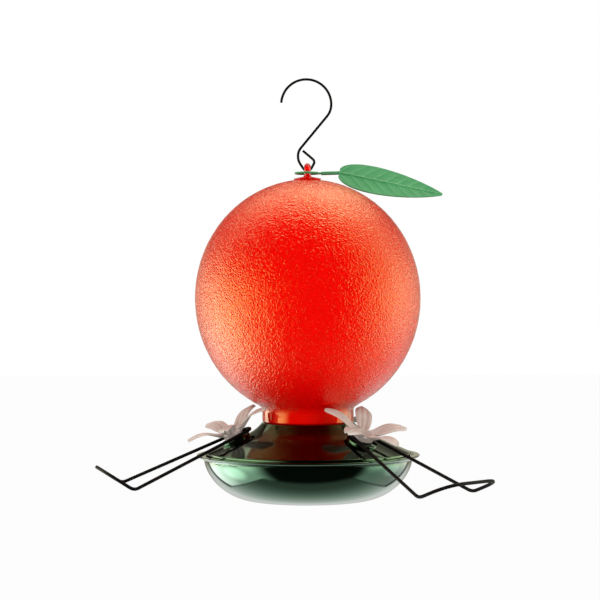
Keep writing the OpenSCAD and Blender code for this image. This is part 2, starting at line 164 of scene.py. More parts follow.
# From the lip's top down to the bowl: 1.4 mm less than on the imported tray
LIP_T = 3.2
GROOVE_W = 1.8
TRAY_H = 27.3
TRAY_WALL = 2.2
TRAY_FLOOR_EXTRA = 0.2
FOOT_R = 32.0
FOOT_RIM = 4.0
FOOT_HOLLOW = 0.8
FOOT_ROUND = 0.4
LIP_ROUND = 0.35
BOWL_POWER = 1.6
SOCKET_WALL = 2.2
SOCKET_FLANGE_R = 36.0
SOCKET_FLANGE_T = 1.6
LEDGE_T = 1.8
SEAL_T = 2.0
SEAL_SET = 0.4
SEAL_ROUND = 0.2
RING_SEAL_R = 0.8

# Ports, flowers and perches
PORT_COUNT = 3
PORT_R = 45.0
PORT_TURN = 44.5
BOSS_H = 2.0
BOSS_R = 9.0
BOSS_EDGE = 0.25
BOSS_EDGE_MID = 0.08
BUSH_FLANGE_R = 5.9
BUSH_FLANGE_T = 0.5
BUSH_BARB = 0.8
BUSH_SPARE = 0.5
BUSH_END = 1.3
BUSH_ROUND = 0.3
PORT_HOLE_R = 4.6
PORT_HOLE_CUT = (-12, 8)
TUBE_R = 3.0
FEED_R = 1.9
TUBE_LEN = 14.0
CALYX_R = 5.8
CALYX_H = 2.6
CALYX_ROUND = 0.5
PETAL_COUNT = 5
PETAL_REACH = 26.4
PETAL_RISE = 10.6
PETAL_W = 10.4
PETAL_T = 1.2
PETAL_WIDEST = 0.68
PETAL_CUP = 2.2
PETAL_TIP_FALL = 1.1
RIB_H = 0.35
RIB_SPACING = 0.64
PERCH_WIRE_R = 1.0
HAIRPIN_R = 6.5
HAIRPIN_BACK = 3.9
PERCH_LEN = 69.6
PERCH_W = 45.6
PERCH_CORNER_R = 3.0
ARCH_LEN = 19.8
ARCH_CORNER_R = 13.5
PERCH_BENDS = (47.5, 57.0, 52.0)
PERCH_LEANS = (4.0, 0.0, 0.0)

GAP = 0.3
SNUG = 0.1
# Facets round a turned form: large, of the middle size, at a port and at a small hole
ROUND = 256
ROUND_MIDDLE = 160
ROUND_PORT = 96
ROUND_HOLE = 72
FLAT_ANGLE = math.radians(32)


def tan(degrees):
    return math.tan(math.radians(degrees))


def unit(v):
    v = np.asarray(v, float)
    return v / np.linalg.norm(v)


# Heights down the feeder's axis, and the radii that follow from others
HOOK_BEND_Z = -(HOOK_R - HOOK_WIRE_R)
HOOK_LOW_Z = HOOK_BEND_Z - HOOK_SPAN
EYE_CORNERS = [np.array((x, HOOK_LOW_Z + z)) for x, z in (
    (-HOOK_EYE_W, HOOK_EYE_H), (-HOOK_EYE_W, HOOK_EYE_SIDE_H), (HOOK_EYE_LOW_X, 0),
    (HOOK_EYE_W - HOOK_EYE_FAR_IN, HOOK_EYE_SIDE_H - HOOK_EYE_SKEW),
    (HOOK_EYE_END - HOOK_EYE_W, HOOK_EYE_H + HOOK_EYE_SKEW))]
# The middle of the eased corner, where the glass eye hangs
HANG_Z = (EYE_CORNERS[2] + 0.25 * HOOK_EYE_EASE * (
    unit(EYE_CORNERS[1] - EYE_CORNERS[2]) + unit(EYE_CORNERS[3] - EYE_CORNERS[2])))[1]
HOLE_Z = HANG_Z - (GLASS_EYE_HOLE_R - HOOK_WIRE_R - GAP)
GLASS_EYE_Z = HANG_Z - GLASS_EYE_LOW
GLOBE_TOP_Z = GLASS_EYE_Z - GLASS_EYE_RISE
GLOBE_Z = GLOBE_TOP_Z - GLOBE_HALF_H
NECK_JOIN_Z = GLOBE_Z - GLOBE_HALF_H * math.sqrt(1 - (NECK_R / GLOBE_R) ** 2)
NECK_END_Z = NECK_JOIN_Z - NECK_LEN
MOUTH_Z = NECK_END_Z - FINISH_LEN
COLLAR_TOP_Z = NECK_END_Z - COLLAR_GAP
CONE_TOP_Z = COLLAR_TOP_Z - COLLAR_H
STEM_TOP_Z = GLASS_EYE_Z + STEM_LAP
FINISH_R = NECK_R - FINISH_STEP
BORE_R = FINISH_R - FINISH_WALL
COLLAR_IN_R = NECK_R - COLLAR_SET
COLLAR_R = COLLAR_IN_R + COLLAR_WALL
SOCKET_R = COLLAR_IN_R + SOCKET_WALL
SLOPE_TAN = tan(COVER_SLOPE)
SLOPE_COS = math.cos(math.radians(COVER_SLOPE))
COVER_DROP = COVER_WALL / SLOPE_COS
CONE_R = NECK_R + CONE_SET
COVER_EDGE_Z = CONE_TOP_Z - (COVER_R - CONE_R) * SLOPE_TAN
COVER_FOOT_Z = COVER_EDGE_Z - COVER_EDGE_H
SKIRT_R = COVER_R - SKIRT_SET
SKIRT_IN_R = SKIRT_R - SKIRT_WALL
SKIRT_GROOVE_R = SKIRT_R - SEAL_GROOVE_DEPTH
SKIRT_END_Z = COVER_FOOT_Z - SKIRT_H
RING_SEAL_Z = COVER_FOOT_Z - SKIRT_H * RING_SEAL_SHARE
LIP_Z = COVER_EDGE_Z - LIP_DROP
FOOT_Z = LIP_Z - TRAY_H
LIP_R = COVER_R + LIP_W
LIP_IN_R = COVER_R + GROOVE_W
TRAY_IN_R = SKIRT_GROOVE_R + SNUG + 2 * RING_SEAL_R + GAP
TRAY_R = TRAY_IN_R + TRAY_WALL
BOWL_TOP_Z = LIP_Z - LIP_T
TRAY_FLOOR_Z = FOOT_Z + TRAY_WALL + TRAY_FLOOR_EXTRA
PORT_Z = CONE_TOP_Z - (PORT_R - CONE_R) * SLOPE_TAN + BOSS_H / SLOPE_COS
WIRE_H = GAP + PERCH_WIRE_R
PETAL_H = WIRE_H + PERCH_WIRE_R + GAP
BUSH_BORE_R = TUBE_R + SNUG
BUSH_R = PORT_HOLE_R - SNUG
BUSH_GRIP = COVER_WALL + BOSS_H + BUSH_SPARE
FLOWER_FOOT_H = BUSH_FLANGE_T + GAP


# Meshes

def new_mesh(name, points, faces):
    mesh = bpy.data.meshes.new(name)
    mesh.from_pydata([tuple(float(c) * MM for c in p) for p in points], [], faces)
    mesh.validate()
    return mesh


def outward(mesh):
    """Turns the faces outward, and shades them smooth up to the sharp edges."""
    work = bmesh.new()
    work.from_mesh(mesh)
    bmesh.ops.recalc_face_normals(work, faces=work.faces)
    work.to_mesh(mesh)
    work.free()
    mesh.shade_smooth()
    mesh.set_sharp_from_angle(angle=FLAT_ANGLE)


def add_mesh(name, mesh, material, body, replaced=()):
    outward(mesh)
    piece = bpy.data.objects.new(name, mesh)
    bpy.context.scene.collection.objects.link(piece)
    mesh.materials.clear()
    mesh.materials.append(material)
    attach(piece, body)
    if replaced:
        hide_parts(*replaced)


def add_piece(name, shape, material, body, replaced=()):
    """Makes a piece from points and faces."""
    add_mesh(name, new_mesh(name, *shape), material, body, replaced)


def placed(points, faces, place):
    if place is not None:
        points = [tuple(place @ Vector(p)) for p in points]
    return points, faces


def revolve(profile, closed=False, steps=ROUND, place=None):
    """Points and faces of a section of (radius, height) turned round Z. Radius 0 is a pole."""
    points, rows = [], []
    for r, z in profile:
        if r < 1e-6:
            rows.append([len(points)])
            points.append((0.0, 0.0, z))
        else:
            rows.append(list(range(len(points), len(points) + steps)))
            points += [(r * math.cos(a), r * math.sin(a), z)
                       for a in (2 * math.pi * k / steps for k in range(steps))]
    faces = []
    for a, b in zip(rows, rows[1:] + rows[:1] if closed else rows[1:]):
        for k in range(steps):
            n = (k + 1) % steps
            if len(a) == 1 and len(b) == 1:
                break
            if len(a) == 1:
                faces.append((a[0], b[k], b[n]))
            elif len(b) == 1:
                faces.append((a[k], b[0], a[n]))
            else:
                faces.append((a[k], b[k], b[n], a[n]))
    return placed(points, faces, place)


def sweep(path, radius, up, sides=20, closed=False, place=None):
    """Points and faces of a round wire along a path. The path never runs along the up direction."""
    path = np.asarray(path, float)
    n = len(path)
    points, faces = [], []
    for i in range(n):
        if closed:
            tangent = unit(path[(i + 1) % n] - path[i - 1])
        else:
            tangent = unit(path[min(i + 1, n - 1)] - path[max(i - 1, 0)])
        side = unit(np.cross(tangent, up))
        rise = np.cross(side, tangent)
        for k in range(sides):
            a = 2 * math.pi * k / sides
            points.append(path[i] + radius * (math.cos(a) * side + math.sin(a) * rise))
    for i in range(n if closed else n - 1):
        for k in range(sides):
            a, b = i * sides, ((i + 1) % n) * sides
            faces.append((a + k, a + (k + 1) % sides, b + (k + 1) % sides, b + k))
    if not closed:
        faces.append(tuple(range(sides)))
        faces.append(tuple((n - 1) * sides + k for k in reversed(range(sides))))
    return placed(points, faces, place)


def sheet_solid(upper, lower, place=None):
    """Points and faces of the closed solid between two grids with the same rows and columns."""
    rows, cols = len(upper) - 1, len(upper[0]) - 1
    count = (rows + 1) * (cols + 1)
    points = [p for grid in (upper, lower) for row in grid for p in row]

    def at(i, j, k):
        return k * count + i * (cols + 1) + j

    faces = []
    for i in range(rows):
        for j in range(cols):
            faces.append((at(i, j, 0), at(i + 1, j, 0), at(i + 1, j + 1, 0), at(i, j + 1, 0)))
            faces.append((at(i, j, 1), at(i, j + 1, 1), at(i + 1, j + 1, 1), at(i + 1, j, 1)))
    for j in range(cols):
        faces.append((at(0, j, 0), at(0, j + 1, 0), at(0, j + 1, 1), at(0, j, 1)))
        faces.append((at(rows, j, 0), at(rows, j, 1), at(rows, j + 1, 1), at(rows, j + 1, 0)))
    for i in range(rows):
        faces.append((at(i, 0, 0), at(i, 0, 1), at(i + 1, 0, 1), at(i + 1, 0, 0)))
        faces.append((at(i, cols, 0), at(i + 1, cols, 0), at(i + 1, cols, 1), at(i, cols, 1)))
    return placed(points, faces, place)


def joined(*parts):
    points, faces = [], []
    for p, f in parts:
        start = len(points)
        points += list(p)
        faces += [tuple(k + start for k in face) for face in f]
    return points, faces


def arc(centre, radius, start, end, steps):
    angles = (math.radians(start + (end - start) * k / steps) for k in range(steps + 1))
    return [(centre[0] + radius * math.cos(a), centre[1] + radius * math.sin(a)) for a in angles]


def curve(a, p, b, steps):
    """Points from a to b, drawn toward p."""
    a, p, b = (np.asarray(v, float) for v in (a, p, b))
    return [a * (1 - t) ** 2 + p * 2 * t * (1 - t) + b * t * t
            for t in (k / steps for k in range(steps + 1))]


def eased(a, p, b, r, steps):
    """A corner of a bent wire: an easy curve that starts and ends at distance r from the corner."""
    a, p, b = (np.asarray(v, float) for v in (a, p, b))
    return curve(p + unit(a - p) * r, p, p + unit(b - p) * r, steps)


def rounded(profile, r, steps=4):
    """A section with its corners rounded by at most r, and by less where its sides are short."""
    pts = [np.array(p, float) for p in profile]
    out = [pts[0]]
    for a, p, b in zip(pts, pts[1:], pts[2:]):
        la, lb = np.linalg.norm(a - p), np.linalg.norm(b - p)
        if la < 1e-6 or lb < 1e-6:
            continue
        if float(np.dot(a - p, b - p) / (la * lb)) < -0.995:
            out.append(p)
        else:
            out += eased(a, p, b, min(r, la * 0.45, lb * 0.45), steps)
    out.append(pts[-1])
    return [tuple(p) for p in out]


def cone_z(r):
    return CONE_TOP_Z - (r - CONE_R) * SLOPE_TAN


def port_place(i):
    turn = math.radians(PORT_TURN - 90 - 360 / PORT_COUNT * (i - 1))
    return (Matrix.Rotation(turn, 4, "Z") @ Matrix.Translation((PORT_R, 0, PORT_Z))
            @ Matrix.Rotation(math.radians(COVER_SLOPE), 4, "Y"))


def loose(name, points, faces):
    """An object for a boolean, on no body yet."""
    mesh = new_mesh(name, points, faces)
    outward(mesh)
    made = bpy.data.objects.new(name, mesh)
    bpy.context.scene.collection.objects.link(made)
    return made


def boolean(target, tool, operation):
    modifier = target.modifiers.new(operation, "BOOLEAN")
    modifier.operation = operation
    modifier.solver = "EXACT"
    modifier.object = tool
    evaluated = target.evaluated_get(bpy.context.evaluated_depsgraph_get())
    result = bpy.data.meshes.new_from_object(evaluated)
    target.modifiers.clear()
    target.data = result
    bpy.data.objects.remove(tool)


def taken(made):
    """The mesh of a loose object, which goes."""
    mesh = made.data
    bpy.data.objects.remove(made)
    return mesh


# Node trees

class Nodes:
    """A short way to write a node tree."""

    def __init__(self, tree):
        self.tree = tree

    def add(self, kind, **settings):
        """Settings with a capital are inputs, such as Base_Color, and others are the node's own."""
        node = self.tree.nodes.new(kind)
        for key, value in settings.items():
            if key[0].isupper():
                node.inputs[key.replace("_", " ")].default_value = value
            else:
                setattr(node, key, value)
        return node

    def link(self, source, target):
        self.tree.links.new(source, target)


class Value:
    """A number in a node tree. Sums, differences and products of it make Math nodes."""

    def __init__(self, nodes, socket):
        self.nodes, self.socket = nodes, socket

    def math(self, operation, *terms):
        node = self.nodes.add("ShaderNodeMath", operation=operation)
        for target, term in zip(node.inputs, terms):
            if isinstance(term, Value):
                self.nodes.link(term.socket, target)
            else:
                target.default_value = term
        return Value(self.nodes, node.outputs[0])

    def __add__(self, other):
        return self.math("ADD", self, other)

    def __sub__(self, other):
        return self.math("SUBTRACT", self, other)

    def __rsub__(self, other):
        return self.math("SUBTRACT", other, self)

    def __mul__(self, other):
        return self.math("MULTIPLY", self, other)

    def __abs__(self):
        return self.math("ABSOLUTE", self)

    def larger(self, other):
        return self.math("MAXIMUM", self, other)

    def angle(self, other):
        return self.math("ARCTAN2", self, other)

    def smooth(self, low, high):
        """Goes smoothly from 0 at low to 1 at high."""
        node = self.nodes.add("ShaderNodeMapRange", interpolation_type="SMOOTHSTEP",
                              From_Min=low, From_Max=high)
        self.nodes.link(self.socket, node.inputs["Value"])
        return Value(self.nodes, node.outputs["Result"])


class Look(Nodes):
    """A material with a Principled shader."""

    def __init__(self, name):
        self.material = bpy.data.materials.new(name)
        self.material.use_nodes = True
        super().__init__(self.material.node_tree)
        self.shader = self.tree.nodes["Principled BSDF"]

    def set(self, **values):
        for key, value in values.items():
            self.shader.inputs[key.replace("_", " ")].default_value = value

    def place(self):
        return self.add("ShaderNodeTexCoord").outputs["Object"]

    def bump(self, height, strength, distance):
        node = self.add("ShaderNodeBump", Strength=strength, Distance=distance)
        self.link(height, node.inputs["Height"])
        self.link(node.outputs["Normal"], self.shader.inputs["Normal"])

    def noise(self, scale, detail=2.0, distortion=0.0):
        node = self.add("ShaderNodeTexNoise", Scale=scale, Detail=detail, Distortion=distortion)
        self.link(self.place(), node.inputs["Vector"])
        return node.outputs["Fac"]

    def colours(self, value, first, last):
        """Runs the base colour from first to last over the middle of a value."""
        node = self.add("ShaderNodeValToRGB")
        stops = ((0.3, first), (0.7, last))
        for element, (position, colour) in zip(node.color_ramp.elements, stops):
            element.position = position
            element.color = (*colour, 1)
        self.link(value, node.inputs["Fac"])
        self.link(node.outputs["Color"], self.shader.inputs["Base Color"])

    def mixed(self, share, first, second):
        node = self.add("ShaderNodeMixShader")
        self.link(share.socket, node.inputs["Fac"])
        self.link(first.outputs[0], node.inputs[1])
        self.link(second.outputs[0], node.inputs[2])
        return node


# Materials

FINE_BUMP = 0.0001
HAMMER_BUMP = 0.0005
# The share of the globe's half height, down from its middle, over which the fine dents come in
HAMMER_ENDS = (0.955, 0.92)


def hammered_glass():
    look = Look("red_glass")
    look.set(Base_Color=(0.97, 0.0015, 0.001, 1), Roughness=0.03, IOR=1.65,
             Transmission_Weight=0.35, Specular_Tint=(1.0, 0.85, 0.2, 1))
    cells = Value(look, look.noise(1000.0, detail=0.0, distortion=0.5))
    # Only the globe is hammered: the neck and the finish are smooth
    split = look.add("ShaderNodeSeparateXYZ")
    look.link(look.place(), split.inputs[0])
    low, high = ((GLOBE_Z - share * GLOBE_HALF_H) * MM for share in HAMMER_ENDS)
    globe = Value(look, split.outputs["Z"]).smooth(low, high)
    look.bump((cells * globe).socket, 1.0, HAMMER_BUMP)
    return look.material


def smooth_glass():
    look = Look("red_glass_smooth")
    look.set(Base_Color=(0.93, 0.006, 0.003, 1), Roughness=0.05, IOR=1.52, Transmission_Weight=0.6)
    return look.material


def green_gloss(name, colour, coat):
    look = Look(name)
    look.set(Base_Color=(*colour, 1), Metallic=1.0, Roughness=0.11, Coat_Weight=coat,
             Coat_Roughness=0.06)
    return look.material


def black_wire():
    look = Look("black_wire")
    look.set(Base_Color=(0.004, 0.003, 0.003, 1), Roughness=0.55, Specular_IOR_Level=0.08)
    look.bump(look.noise(900.0), 0.15, FINE_BUMP)
    return look.material


def leaf_green():
    look = Look("leaf_green")
    look.set(Roughness=0.5, Specular_IOR_Level=0.3)
    look.colours(look.noise(90.0, detail=3.0), (0.048, 0.232, 0.083), (0.062, 0.27, 0.1))
    look.bump(look.noise(1400.0), 0.12, FINE_BUMP)
    return look.material


def petal_white():
    look = Look("petal")
    look.set(Roughness=0.5, Subsurface_Weight=0.06, Subsurface_Radius=(0.003, 0.0015, 0.001),
             Subsurface_Scale=1.0)
    look.colours(look.noise(160.0, detail=3.0), (0.5, 0.42, 0.37), (0.58, 0.5, 0.445))
    look.bump(look.noise(900.0), 0.1, FINE_BUMP)
    return look.material


def plain(name, colour, roughness):
    look = Look(name)
    look.set(Base_Color=(*colour, 1), Roughness=roughness)
    look.bump(look.noise(1100.0), 0.1, FINE_BUMP)
    return look.material


GLASS = hammered_glass()
GLASS_SMOOTH = smooth_glass()
TRAY_GREEN = green_gloss("tray_green", (0.035, 0.1, 0.052), 0.7)
COVER_GREEN = green_gloss("cover_green", (0.042, 0.085, 0.048), 0.2)
BLACK = black_wire()
LEAF = leaf_green()
PETAL = petal_white()
BUSH = plain("bush", (0.03, 0.025, 0.022), 0.6)
SEAL = plain("seal", (0.55, 0.52, 0.45), 0.6)
SEAL_DARK = plain("seal_dark", (0.02, 0.02, 0.018), 0.5)
SOCKET = plain("socket_green", (0.035, 0.1, 0.05), 0.4)


# Hook: an arc, then a bend at each corner down to the eye's end
bend_x = HOOK_SET + HOOK_R
hook_corners = [(bend_x, HOOK_BEND_Z), (bend_x, HOOK_BEND_Z - HOOK_KNEE), *EYE_CORNERS]
hook_bends = ((HOOK_KNEE, 12), (HOOK_EYE_TOP_BEND, 8), (HOOK_EYE_NEAR_BEND, 8),
              (HOOK_EYE_EASE, 20), (HOOK_EYE_FAR_BEND, 8))
hook_line = arc((HOOK_SET, HOOK_BEND_Z), HOOK_R, HOOK_START_ANGLE, HOOK_END_ANGLE, 60)
for a, p, b, (r, steps) in zip(hook_corners, hook_corners[1:], hook_corners[2:], hook_bends):
    hook_line += eased(a, p, b, r, steps)
hook_line.append(EYE_CORNERS[-1])
add_piece("wire_hook", sweep([(x, 0, z) for x, z in hook_line], HOOK_WIRE_R, (0, 1, 0), 24),
          BLACK, "hook", ("hook",))


# Bottle
def globe_point(angle, inset):
    """A point of the globe's section, at an angle up from straight below."""
    return ((GLOBE_R - inset) * math.sin(angle),
            GLOBE_Z - (GLOBE_HALF_H - inset) * math.cos(angle))


def globe_arc(start, end, inset, steps):
    return [globe_point(start + (end - start) * k / steps, inset) for k in range(1, steps + 1)]


# The noise's vectors differ from run to run without a seed
noise.seed_set(HAMMER_SEED)


def hammer(p):
    """Depth of the hammered relief at a point of the globe, from 0 to 1: short worm-like dents."""
    bend = noise.noise_vector(Vector(p) * HAMMER_BEND_FREQ) * HAMMER_BEND
    return min(1.0, max(0.0, 0.5 + noise.noise((Vector(p) + bend) * HAMMER_FREQ)))


def bottle_shape():
    neck_angle = math.asin(NECK_R / GLOBE_R)
    bore_angle = math.asin(BORE_R / (GLOBE_R - GLASS_WALL))
    foot_angle = math.asin((STEM_FOOT_R - STEM_FOOT_EDGE) / GLOBE_R)
    inner = [(0, GLOBE_Z + GLOBE_HALF_H - GLASS_WALL)]
    inner += globe_arc(math.pi, bore_angle, GLASS_WALL, GLOBE_INNER_STEPS)
    mouth = rounded([(BORE_R, MOUTH_Z + BORE_LEN), (BORE_R, MOUTH_Z), (FINISH_R, MOUTH_Z),
                     (FINISH_R, NECK_END_Z), (NECK_R, NECK_END_Z),
                     (NECK_R, NECK_JOIN_Z - NECK_EASE)], MOUTH_ROUND)
    outer = [(NECK_R + NECK_EASE * 0.3, NECK_JOIN_Z - NECK_EASE * 0.35)]
    outer += globe_arc(neck_angle + math.radians(2), math.pi - foot_angle, 0, GLOBE_STEPS)
    points, faces = revolve(inner + mouth + outer + [(0, outer[-1][1])], steps=GLOBE_AROUND)
    first = 1 + GLOBE_AROUND * (len(inner) - 1 + len(mouth))
    for k in range(first, first + GLOBE_AROUND * len(outer)):
        x, y, z = points[k]
        fade = min(1.0, (z - NECK_JOIN_Z) / NECK_FADE, (GLOBE_TOP_Z - TOP_CLEAR - z) / TOP_FADE)
        if fade > 0:
            normal = unit((x / GLOBE_R ** 2, y / GLOBE_R ** 2, (z - GLOBE_Z) / GLOBE_HALF_H ** 2))
            dent = HAMMER_DEPTH * fade * hammer(points[k])
            points[k] = tuple(np.array(points[k]) - dent * normal)
    return points, faces


add_piece("glass_bottle", bottle_shape(), GLASS, "bottle", ("bottle",))

# Glass eye on its flared stem, with its hole opening out to both faces
stem_flare = [(STEM_FOOT_R - share * (STEM_FOOT_R - STEM_R), GLOBE_TOP_Z + rise)
              for share, rise in ((0.0, 0.45), (0.3, 0.75), (0.62, 1.1), (0.88, 1.7), (1.0, 2.5))]
stem_section = [(0, GLOBE_TOP_Z - STEM_SINK)] + rounded([
    (STEM_FOOT_R - STEM_FOOT_EDGE, GLOBE_TOP_Z - STEM_SINK), (STEM_FOOT_R, GLOBE_TOP_Z - 0.1),
    *stem_flare, (STEM_R, STEM_TOP_Z - STEM_EDGE), (STEM_R - STEM_EDGE, STEM_TOP_Z),
    (0, STEM_TOP_Z)], STEM_ROUND)
half_t = GLASS_EYE_T / 2
wide_r = GLASS_EYE_HOLE_R + GLASS_EYE_FLARE
eye_hole = [(GLASS_EYE_HOLE_R, -GLASS_EYE_HOLE_MID), (wide_r, -half_t), (wide_r, -GLASS_EYE_T),
            (0, -GLASS_EYE_T), (0, GLASS_EYE_T), (wide_r, GLASS_EYE_T), (wide_r, half_t),
            (GLASS_EYE_HOLE_R, GLASS_EYE_HOLE_MID)]
eye_section = [(GLASS_EYE_R * max(0.0, math.cos(a)), half_t * math.sin(a))
               for a in (math.pi * (k / 32 - 0.5) for k in range(33))]


def across(z):
    """Turns a section's axis from Z to X, at a height."""
    return Matrix.Translation((0, 0, z)) @ Matrix.Rotation(math.radians(90), 4, "Y")


eye = loose("eye", *revolve(eye_section, steps=ROUND_HOLE, place=across(GLASS_EYE_Z)))
boolean(eye, loose("stem", *revolve(stem_section, steps=ROUND_PORT)), "UNION")
boolean(eye, loose("eye_hole", *revolve(eye_hole, True, ROUND_HOLE, across(HOLE_Z))), "DIFFERENCE")
add_mesh("glass_eye", taken(eye), GLASS_SMOOTH, "bottle")


# Leaf
ring_z = GLASS_EYE_Z - LEAF_RING_DROP
blade_x = LEAF_RING_R + LEAF_STEM_LEN
blade_z = ring_z + LEAF_BLADE_RISE


def leaf_half(t):
    return LEAF_W / 2 * LEAF_FILL * t ** LEAF_FOOT_POWER * (1 - t) ** LEAF_TIP_POWER


def leaf_point(t, v, lift):
    """A point at a share t of the blade's length and v of its half width."""
    half = leaf_half(t)
    along = t * VEIN_COUNT - abs(v) * half * VEIN_SLANT * VEIN_COUNT / LEAF_LEN
    vein = abs(math.cos(math.pi * along)) ** VEIN_SHARPNESS * (1 - v ** 4)
    midrib = MIDRIB_H * math.exp(-(v * half / MIDRIB_R) ** 2) * (1 - 0.6 * t)
    relief = VEIN_RELIEF * (vein - 0.5) + midrib + LEAF_CUP * v * v
    return (LEAF_LEN * t, half * v, relief + lift)


def leaf_grid(lift, rows=150, cols=40):
    return [[leaf_point(LEAF_START + LEAF_COVERED * i / rows, 2 * j / cols - 1, lift)
             for j in range(cols + 1)] for i in range(rows + 1)]


leaf_place = (Matrix.Translation((blade_x, 0, blade_z))
              @ Matrix.Rotation(math.radians(LEAF_DROOP), 4, "Y")
              @ Matrix.Rotation(math.radians(LEAF_ROLL), 4, "X"))
tail = math.radians(LEAF_RING_TAIL)
ring_path = [(LEAF_RING_R * math.cos(a), LEAF_RING_R * math.sin(a), ring_z)
             for a in (-tail - (2 * math.pi - 2 * tail) * k / 48 for k in range(49))]
tail_path = [(LEAF_RING_R + 0.5, LEAF_RING_R * math.sin(tail) * 0.45, ring_z),
             (LEAF_RING_R + 2, 0.4, ring_z - 0.15), (LEAF_RING_R + 4, 0.1, ring_z - 0.3)]
stem_path = [(LEAF_RING_R + 1.2, 0, ring_z - 0.15), (blade_x, 0, blade_z),
             (blade_x + LEAF_STEM_LAP, 0, blade_z - LEAF_STEM_LAP * tan(LEAF_DROOP))]
add_piece("metal_leaf", joined(
    sweep(ring_path + tail_path, LEAF_WIRE_R, (0, 0, 1), 16),
    sweep(stem_path, LEAF_STEM_R, (0, 1, 0), 16),
    sheet_solid(leaf_grid(LEAF_T / 2), leaf_grid(-LEAF_T / 2), leaf_place)),
    LEAF, "leaf", ("leaf",))


# Thread: a round ridge up the finish, and one in the socket that lies half a pitch from it
def thread(r, z_start, z_end, turn):
    steps = int(THREAD_STEPS * (z_end - z_start) / THREAD_PITCH)
    heights = [z_start + (z_end - z_start) * k / steps for k in range(steps + 1)]
    angles = [turn + 2 * math.pi * z / THREAD_PITCH for z in heights]
    path = [(r * math.cos(a), r * math.sin(a), z) for a, z in zip(angles, heights)]
    return sweep(path, THREAD_R, (0, 0, 1), 12)


add_piece("neck_thread", thread(FINISH_R - SNUG, MOUTH_Z + THREAD_END, NECK_END_Z - THREAD_END, 0),
          GLASS_SMOOTH, "bottle")

# Seals and socket
seal_top_z = MOUTH_Z - GAP
seal_in_r, seal_r = BORE_R + SEAL_SET, COLLAR_IN_R - SEAL_SET
seal_section = rounded([(seal_in_r, seal_top_z - SEAL_T / 2), (seal_in_r, seal_top_z),
                        (seal_r, seal_top_z), (seal_r, seal_top_z - SEAL_T),
                        (seal_in_r, seal_top_z - SEAL_T)], SEAL_ROUND, 2)
add_piece("mouth_seal", revolve(seal_section, True, ROUND_MIDDLE),
          SEAL, "neck_seal", ("neck_seal",))

ledge_z = seal_top_z - SEAL_T - GAP
socket_top_z = cone_z(COLLAR_IN_R) - COVER_DROP - GAP
flange_z = cone_z(SOCKET_FLANGE_R) - COVER_DROP - 2 * GAP
socket_section = [
    (COLLAR_IN_R, socket_top_z), (SOCKET_R, socket_top_z - (SOCKET_R - COLLAR_IN_R) * SLOPE_TAN),
    (SOCKET_R, flange_z), (SOCKET_FLANGE_R, flange_z),
    (SOCKET_FLANGE_R, flange_z - SOCKET_FLANGE_T), (SOCKET_R, flange_z - SOCKET_FLANGE_T),
    (SOCKET_R, ledge_z - LEDGE_T),
    (BORE_R, ledge_z - LEDGE_T), (BORE_R, ledge_z), (COLLAR_IN_R, ledge_z)]
add_piece("screw_socket", revolve(socket_section, True, ROUND_MIDDLE),
          SOCKET, "base", ("threaded_socket",))
add_piece("socket_thread",
          thread(COLLAR_IN_R + SNUG, seal_top_z + THREAD_R + GAP,
                 socket_top_z - SOCKET_THREAD_END, math.pi),
          SOCKET, "base")

ring_section = [(SKIRT_GROOVE_R + SNUG + RING_SEAL_R * (1 + math.cos(a)),
                 RING_SEAL_Z + RING_SEAL_R * math.sin(a))
                for a in (2 * math.pi * k / 16 for k in range(16))]
add_piece("ring_seal", revolve(ring_section, True), SEAL_DARK, "base", ("tray_seal",))


# Cover: a turned shell with a boss and a hole at each port
groove_top_z = RING_SEAL_Z + RING_SEAL_R + SNUG
groove_low_z = RING_SEAL_Z - RING_SEAL_R - SNUG
sweep_mid_r = SWEEP_R - SWEEP_PULL * (SWEEP_R - COLLAR_R)
collar_sweep = curve((COLLAR_R, COLLAR_TOP_Z), (sweep_mid_r, cone_z(sweep_mid_r)),
                     (SWEEP_R, cone_z(SWEEP_R)), 16)
cover_section = rounded([
    (COLLAR_IN_R, COLLAR_TOP_Z - 2), (COLLAR_IN_R, COLLAR_TOP_Z), *collar_sweep,
    (COVER_R, COVER_EDGE_Z + 0.15), (COVER_R, COVER_FOOT_Z), (SKIRT_R, COVER_FOOT_Z),
    (SKIRT_R, groove_top_z), (SKIRT_GROOVE_R, groove_top_z),
    (SKIRT_GROOVE_R, groove_low_z), (SKIRT_R, groove_low_z),
    (SKIRT_R, SKIRT_END_Z), (SKIRT_IN_R, SKIRT_END_Z),
    (SKIRT_IN_R, cone_z(SKIRT_IN_R) - COVER_DROP), (COLLAR_IN_R, cone_z(COLLAR_IN_R) - COVER_DROP),
    (COLLAR_IN_R, COLLAR_TOP_Z - 3)], COVER_ROUND)
boss_low = -BOSS_H - COVER_WALL / 2
boss_section = [(0, boss_low), (BOSS_R, boss_low), (BOSS_R, -BOSS_EDGE),
                (BOSS_R - BOSS_EDGE_MID, -BOSS_EDGE_MID), (BOSS_R - BOSS_EDGE, 0), (0, 0)]
cut_low, cut_top = PORT_HOLE_CUT
hole_section = [(0, cut_low), (PORT_HOLE_R, cut_low), (PORT_HOLE_R, cut_top), (0, cut_top)]
PORTS = range(1, PORT_COUNT + 1)

cover = loose("cover_shell", *revolve(cover_section, True))
for i in PORTS:
    boss = revolve(boss_section, steps=ROUND_PORT, place=port_place(i))
    boolean(cover, loose("boss", *boss), "UNION")
for i in PORTS:
    hole = revolve(hole_section, steps=ROUND_HOLE, place=port_place(i))
    boolean(cover, loose("hole", *hole), "DIFFERENCE")
add_mesh("domed_cover", taken(cover), COVER_GREEN, "base", ("base_cover",))


